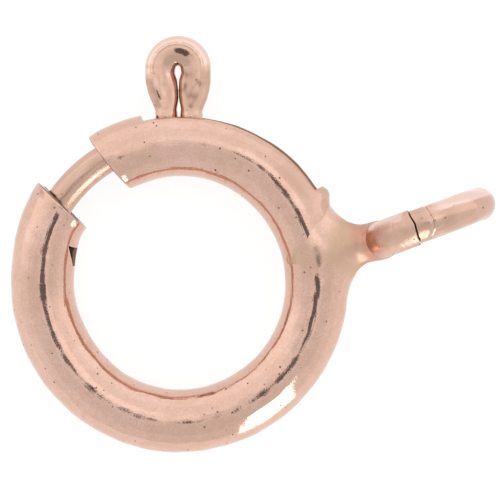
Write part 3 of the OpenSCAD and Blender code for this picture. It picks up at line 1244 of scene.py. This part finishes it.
class Surface(Finish):
    """The nodes of one material, with a place in millimetres to lay patterns on."""

    def __init__(self, name):
        self.material = bpy.data.materials.new(name)
        self.material.use_nodes = True
        super().__init__(self.material.node_tree)
        place = self.signal("ShaderNodeTexCoord", {}, {}, 3)
        per_mm = (1 / MM, 1 / MM, 1 / MM)
        self.place = self.signal("ShaderNodeVectorMath", {"operation": "MULTIPLY"}, {0: place, 1: per_mm})

    def coat(self, height, depth, strength, sockets):
        """The finished material, with sockets, and a height of so much depth at 1, felt with a strength."""
        bump = self.signal("ShaderNodeBump", {}, {"Height": height, "Distance": depth, "Strength": strength})
        shader = self.signal("ShaderNodeBsdfPrincipled", {}, {**sockets, "Normal": bump})
        self.node("ShaderNodeOutputMaterial", {}, {"Surface": shader})
        return self.material


class Metal(Surface):
    """A polished metal with the marks that drawing, dirt and wearing leave on it, and painted light and shade
    laid on some pieces.
    """

    def __init__(self, name):
        super().__init__(name)
        self.colours = bpy.context.scene.clasp_finish
        self.size = clasp_sizes()

    @cached_property
    def flat(self):
        """The parts of the place in the flat ring's own directions."""
        level = tilt_matrix().inverted().to_euler()
        return self.parts(self.signal("ShaderNodeMapping", {}, {"Vector": self.place, "Rotation": level}))

    @cached_property
    def radius(self):
        """Distance from the ring's axis."""
        x, y, _ = self.flat
        return (x * x + y * y) ** 0.5

    @cached_property
    def direction(self):
        """Direction from the ring's axis."""
        x, y, _ = self.flat
        return y.math("ARCTAN2", x)

    @cached_property
    def drawn(self):
        """A place in which patterns run along the tube, as marks of drawing do."""
        around = self.flat[2].math("ARCTAN2", self.radius - self.size.mid_r)
        return self.vector(self.direction * 0.5, around * 1.2, self.radius * 0.4)

    def pits(self, scale, share, size):
        """1 in small pits: a share of the cells of a scale has one, of about a size in its cell."""
        cells = self.node("ShaderNodeTexVoronoi", {}, {"Vector": self.place, "Scale": scale})
        distance = Signal(self, cells.outputs["Distance"])
        chance, growth, _ = self.parts(Signal(self, cells.outputs["Color"]))
        grown = growth * size + size * 0.3
        return (1 - (distance / grown).rise(0.6, 1.0)) * (1 - chance.rise(share - 0.01, share + 0.01))

    def pocks(self, share, size):
        """1 in coarse pits, of a share and a size, and in the fine ones among them."""
        return self.pits(3.4, share, size).math("MAXIMUM", self.pits(7.5, 0.5, 0.15))

    def tarnish(self, strength):
        """Rose gold from pale to dull, in patches, in cloudy spots and in a fine mottle."""
        patches = self.clouds(self.place, 1.1).rise(0.40, 0.62)
        spots = self.clouds(self.place, 5.5, roughness=0.65).rise(0.42, 0.66)
        mottle = self.clouds(self.place, 26.0, detail=2.0, roughness=0.6).rise(0.4, 0.6)
        share = (patches * 0.45 + spots * 0.5 + mottle * 0.6) * strength
        return self.mix(share.math("MINIMUM", 1.0), self.colours.gold, self.colours.warm)

    def flush(self, where, tint):
        """A tint with patches in it, where it says, in which heat has turned the gold red."""
        patches = self.clouds(self.place, 3.0).rise(0.35, 0.55) * 0.8
        return self.mix(where * patches, tint, self.colours.flush)

    def soil_and_shade(self, tint, dirt):
        """A tint with the stains, painted highlights and painted shade that are laid on the piece, and dirt
        over it.
        """
        stain_and_painted_light = self.signal("ShaderNodeAttribute", {"attribute_name": STAIN_AND_PAINTED_LIGHT}, {}, 2)
        rubbed_and_highlit = self.mix(stain_and_painted_light.rise(0.0, -WORN), tint, self.colours.bright)
        darkened = self.mix(stain_and_painted_light.rise(0.0, WORN), rubbed_and_highlit, self.colours.wear_and_shade)
        return self.mix(dirt.math("MAXIMUM", stain_and_painted_light.rise(WORN, DIRTY_AND_SHADED)) * 0.85, darkened, self.colours.dirt_and_shade)

    def shine(self, shade, roughness, height):
        """The polished material, from what varies over its surface, with the height in millimetres."""
        return self.coat(height, MM, 1.0, {"Base Color": shade, "Roughness": roughness, "Metallic": 1.0})

    def aged(self, tint, dirt, roughness, dull_grain, height, grain_depth):
        """The same with stains, painted light and shade and dirt on its tint, fine grain over it and pits in
        it.
        """
        grain = self.clouds(self.place, 34.0, detail=2.0, roughness=0.6)
        pit_depth = 0.0015
        roughness = roughness + grain.rise(0.45, 0.75) * dull_grain
        height = height + grain * grain_depth - dirt * pit_depth
        return self.shine(self.soil_and_shade(tint, dirt), roughness, height)


def tube_finish():
    """Rose gold tube: cloudy tarnish, a browner patch on the outer side beside the solder, fine grain, pits
    and scratches.
    """
    metal = Metal("rose_gold_tube")
    lines = metal.clouds(metal.drawn, 5.0, detail=2.0)
    dirt = metal.pocks(0.6, 0.085)
    # A darker, browner patch on the outer side of the tube beside the neck
    patch_dir = 0.5
    beside_neck = 1 - (metal.direction - patch_dir).math("ABSOLUTE").rise(0.2, 0.75)
    outside = metal.radius.rise(2.6, 2.74)
    cloudy = metal.clouds(metal.place, 2.4).rise(0.36, 0.6)
    darkened = (0.6 + cloudy * 0.4) * beside_neck * (0.15 + outside * 0.85)
    tint = metal.mix(darkened * 0.9, metal.tarnish(0.9), metal.colours.wear_and_shade)
    polish, dull_lines, dull_grain, dull_dirt = 0.06, 0.03, 0.05, 0.4
    line_depth, grain_depth = 0.0035, 0.001
    roughness = polish + lines.rise(0.35, 0.7) * dull_lines + dirt * dull_dirt
    return metal.aged(tint, dirt, roughness, dull_grain, lines * line_depth, grain_depth)


def wire_finish():
    """Rose gold wire of the tongue: scratched where it slides in the tube, polished where it is pressed."""
    metal = Metal("rose_gold_wire")
    slid = 1 - metal.radius.rise(2.9, 3.1)
    streaks = metal.clouds(metal.drawn, 9.0, roughness=0.7)
    worn = slid * (0.3 + streaks.rise(0.35, 0.65) * 0.5)
    tint = metal.mix(worn, metal.tarnish(1.0), metal.colours.wear_and_shade)
    polish, dull_slid, dull_streaks, dull_grain = 0.07, 0.08, 0.08, 0.05
    streak_depth, grain_depth = 0.004, 0.0007
    roughness = polish + slid * dull_slid + slid * streaks.rise(0.4, 0.7) * dull_streaks
    dirt = metal.pits(7.5, 0.4, 0.1)
    return metal.aged(tint, dirt, roughness, dull_grain, slid * streaks * streak_depth, grain_depth)


def solder_finish():
    """Solder at the neck: duller and browner than the tube, fading out where it thins on the tube."""
    metal = Metal("neck_solder")
    x, y, z = metal.flat
    across = y * math.cos(metal.size.neck_dir) - x * math.sin(metal.size.neck_dir)
    from_middle = (across * across + z * z) ** 0.5
    thick = 1 - from_middle.rise(0.45, 0.66)
    cloud = metal.clouds(metal.place, 2.0, detail=4.0)
    soldered = thick * (0.55 + cloud.rise(0.35, 0.6) * 0.45)
    tint = metal.mix(soldered, metal.tarnish(0.9), metal.colours.solder)
    tint = metal.flush(metal.radius.rise(3.12, 3.3), tint)
    polish, dull_solder, dull_cloud, dull_grain = 0.08, 0.32, 0.08, 0.05
    cloud_depth, grain_depth = 0.008, 0.0008
    roughness = polish + thick * dull_solder + thick * cloud.rise(0.4, 0.7) * dull_cloud
    dirt = metal.pits(6.5, 0.45, 0.1)
    return metal.aged(tint, dirt, roughness, dull_grain, cloud * thick * cloud_depth, grain_depth)


def eye_finish():
    """Rose gold wire of the eye: hammered, mottled towards the solder, with dirt in the joint and pits."""
    metal = Metal("rose_gold_eye")
    x, y, _ = metal.flat
    turned, middle = metal.size.eye.turn, metal.size.eye_at
    outward = (x - middle.x) * math.cos(turned) + (y - middle.y) * math.sin(turned)
    dull = outward.rise(0.18, -0.08)
    cloud = metal.clouds(metal.place, 2.6, detail=4.0)
    worn = dull * (0.2 + cloud.rise(0.4, 0.6) * 0.55)
    tint = metal.mix(worn, metal.tarnish(1.0), metal.colours.wear_and_shade)
    tint = metal.flush(outward.rise(-0.9, -1.02), tint)
    polish, dull_half, dull_cloud, dull_grain = 0.09, 0.22, 0.07, 0.06
    cloud_depth, dull_depth, grain_depth = 0.006, 0.008, 0.0008
    roughness = polish + dull * dull_half + cloud.rise(0.4, 0.7) * dull_cloud
    height = cloud * (cloud_depth + dull * dull_depth)
    return metal.aged(tint, metal.pocks(0.7, 0.1), roughness, dull_grain, height, grain_depth)


def steel_finish():
    """Drawn steel of the coil: grey, with fine lines and oil stains."""
    metal = Metal("spring_steel")
    lines = metal.clouds(metal.place, 40.0, roughness=0.7)
    stains = metal.clouds(metal.place, 4.0)
    shade = metal.mix(stains.rise(0.45, 0.7) * 0.6, metal.colours.steel, metal.colours.dirt_and_shade)
    polish, dull_lines, line_depth = 0.22, 0.15, 0.001
    return metal.shine(shade, polish + lines.rise(0.4, 0.8) * dull_lines, lines * line_depth)


def floor_finish():
    """Pale card with a faint tooth."""
    stage = bpy.context.scene.clasp_stage
    card = Surface("pale_card")
    tooth = card.clouds(card.place, 2.0)
    tooth_depth, greyer = 0.01 * MM, 0.985
    pale = tuple(stage.floor)
    return card.coat(tooth, tooth_depth, 0.4, {
        "Base Color": card.mix(tooth.rise(0.3, 0.8) * 0.5, pale, tuple(value * greyer for value in pale)),
        "Roughness": 0.9, "Specular IOR Level": 0.1,
        "Emission Color": (1.0, 1.0, 1.0, 1.0), "Emission Strength": stage.glow,
    })


# Stage

def light_tent(stage):
    """White light from all sides, brighter behind and low down, with the camera's dark port above."""
    world = bpy.data.worlds.new("light_tent")
    world.use_nodes = True
    bpy.context.scene.world = world
    tent = Finish(world.node_tree)
    ray = tent.signal("ShaderNodeTexCoord", {}, {}, 0)
    x, y, z = tent.parts(ray)

    def patch(azimuth, zenith, inner, outer):
        """1 within a cone around a direction of the sky, and a smooth fall to 0 at a wider one."""
        azimuth, zenith = math.radians(azimuth), math.radians(zenith)
        middle = ring_point(azimuth, math.sin(zenith), math.cos(zenith))
        facing = tent.signal("ShaderNodeVectorMath", {"operation": "DOT_PRODUCT"}, {0: ray, 1: middle}, 1)
        return facing.rise(math.cos(math.radians(outer)), math.cos(math.radians(inner)))

    port = patch(azimuth=249, zenith=3.36, inner=7.8, outer=8.4)
    glow = patch(azimuth=45, zenith=14, inner=5, outer=18)
    halo = patch(azimuth=60, zenith=5, inner=11, outer=26)
    walls = 1 - z.rise(math.cos(math.radians(60)), math.cos(math.radians(52)))
    everywhere, behind, beside, low, in_glow, in_halo, port_shade = 0.85, 0.29, 0.12, 0.07, 0.1, 0.14, 0.82
    light = everywhere + y.rise(-0.06, 0.26) * behind + x * x * beside + walls * low
    light = (light + glow * in_glow + halo * in_halo) * (1 - port * port_shade) * stage.tent
    background = tent.signal("ShaderNodeBackground", {}, {"Color": (1.0, 1.0, 1.0, 1.0), "Strength": light})
    tent.node("ShaderNodeOutputWorld", {}, {"Surface": background})


def side_light(stage):
    """A tall soft box that stands on the floor beyond the lower right of the view."""
    light = bpy.data.lights.new("side_light", "AREA")
    light.shape = "RECTANGLE"
    light.size, light.size_y = stage.box_w, stage.box_h
    light.energy = stage.box_light
    lamp = bpy.data.objects.new("side_light", light)
    bpy.context.scene.collection.objects.link(lamp)
    lamp.visible_camera = False
    level = ring_point(stage.box_dir, 1.0)
    lamp.location = level * stage.box_away + Vector((0, 0, cad_box[0].z + stage.box_h / 2))
    lamp.rotation_euler = level.to_track_quat("Z", "Y").to_euler()


# Pieces as operators

def case_piece(bm, name, material):
    """A piece of the soldered metal, which stands for the packed case."""
    piece = lay_down(bm, name, material)
    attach(piece, "case")
    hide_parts("case")
    return piece


class CLASP_OT_tube(bpy.types.Operator):
    """Model the bent tube with its slot and the window of its stop"""

    bl_idname = "clasp.tube"
    bl_label = "Bent tube"

    def execute(self, context):
        case_piece(tube_mesh(clasp_sizes()), "bent_tube", tube_finish())
        return {"FINISHED"}


class CLASP_OT_stop(bpy.types.Operator):
    """Model the punched stop in the bore"""

    bl_idname = "clasp.stop"
    bl_label = "Punched stop"

    def execute(self, context):
        frame_gold = bpy.data.materials["rose_gold_tube"]
        case_piece(stop_mesh(clasp_sizes()), "punched_stop", frame_gold)
        return {"FINISHED"}


class CLASP_OT_neck(bpy.types.Operator):
    """Model the solder between the tube and the eye"""

    bl_idname = "clasp.neck"
    bl_label = "Solder neck"

    def execute(self, context):
        case_piece(neck_mesh(clasp_sizes()), "solder_neck", solder_finish())
        return {"FINISHED"}


class CLASP_OT_eye(bpy.types.Operator):
    """Model the upright eye"""

    bl_idname = "clasp.eye"
    bl_label = "Upright eye"

    def execute(self, context):
        case_piece(eye_mesh(clasp_sizes()), "upright_eye", eye_finish())
        return {"FINISHED"}


class CLASP_OT_tongue(bpy.types.Operator):
    """Model the tongue with its trigger and tail"""

    bl_idname = "clasp.tongue"
    bl_label = "Tongue and trigger"

    def execute(self, context):
        piece = lay_down(tongue_mesh(clasp_sizes()), "tongue_wire", wire_finish())
        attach(piece, "tongue")
        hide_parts("tongue")
        return {"FINISHED"}


# The coil follows the tongue from its stop to its tail. These are the ends of the line along which it does so
# more and more: degrees back from the tail, degrees between them, and shares of the middle line's radius
BLEND_BACK = 12
BLEND_TURN = 158
BLEND_START = 0.3
BLEND_END = 0.9


class CLASP_OT_spring(bpy.types.Operator):
    """Model the coil in the tube"""

    bl_idname = "clasp.spring"
    bl_label = "Coil spring"

    def execute(self, context):
        size = clasp_sizes()
        piece = lay_down(spring_mesh(size), "coil_spring", steel_finish())
        pull = size.tail_dir - math.radians(BLEND_BACK)
        start = ring_point(pull + math.radians(BLEND_TURN), size.mid_r * BLEND_START)
        end = ring_point(pull, size.mid_r * BLEND_END)
        start, end = tilt_matrix() @ start * MM, tilt_matrix() @ end * MM
        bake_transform(piece, "case", "tongue", start, end)
        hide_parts("spring")
        return {"FINISHED"}


class CLASP_OT_stage(bpy.types.Operator):
    """Set the floor, the light tent and the camera"""

    bl_idname = "clasp.stage"
    bl_label = "Stage"

    def execute(self, context):
        scene = context.scene
        stage = scene.clasp_stage
        bm = bmesh.new()
        bmesh.ops.create_grid(bm, x_segments=1, y_segments=1, size=stage.floor_w / 2)
        bmesh.ops.translate(bm, vec=(0, 0, cad_box[0].z), verts=bm.verts)
        mesh = bpy.data.meshes.new("floor")
        bm.to_mesh(mesh)
        bm.free()
        mesh.materials.append(floor_finish())
        floor = bpy.data.objects.new("floor", mesh)
        scene.collection.objects.link(floor)
        light_tent(stage)
        side_light(stage)

        camera = bpy.data.cameras.new("camera")
        camera.lens = camera.sensor_width * stage.camera_h / stage.view_w
        camera.clip_start, camera.clip_end = MM, 10.0
        eyepiece = bpy.data.objects.new("camera", camera)
        eyepiece.location = (stage.view_x, stage.view_y, stage.camera_h)
        scene.collection.objects.link(eyepiece)
        scene.camera = eyepiece
        scene.view_settings.view_transform = "Standard"
        return {"FINISHED"}


PIECES = (
    CLASP_OT_tube, CLASP_OT_stop, CLASP_OT_neck, CLASP_OT_eye, CLASP_OT_tongue, CLASP_OT_spring,
    CLASP_OT_stage,
)


class CLASP_PT_pieces(bpy.types.Panel):
    """Lists the pieces of the clasp and their sizes"""

    bl_idname = "CLASP_PT_pieces"
    bl_label = "Spring Ring Clasp"
    bl_space_type = "VIEW_3D"
    bl_region_type = "UI"
    bl_category = "Clasp"

    def draw(self, context):
        for piece in PIECES:
            self.layout.operator(piece.bl_idname)
        for name, group in GROUPS.items():
            box = self.layout.box()
            box.label(text=group.__doc__)
            for prop in group.__annotations__:
                box.prop(getattr(context.scene, name), prop)


def register():
    for kind in (*GROUPS.values(), *PIECES, CLASP_PT_pieces):
        bpy.utils.register_class(kind)
    for name, group in GROUPS.items():
        setattr(bpy.types.Scene, name, PointerProperty(type=group))


def unregister():
    for name in GROUPS:
        delattr(bpy.types.Scene, name)
    for kind in (CLASP_PT_pieces, *reversed(PIECES), *reversed(GROUPS.values())):
        bpy.utils.unregister_class(kind)


def main():
    """Models every piece."""
    register()
    for piece in PIECES:
        group, name = piece.bl_idname.split(".")
        getattr(getattr(bpy.ops, group), name)()


if __name__ == "__main__":
    main()
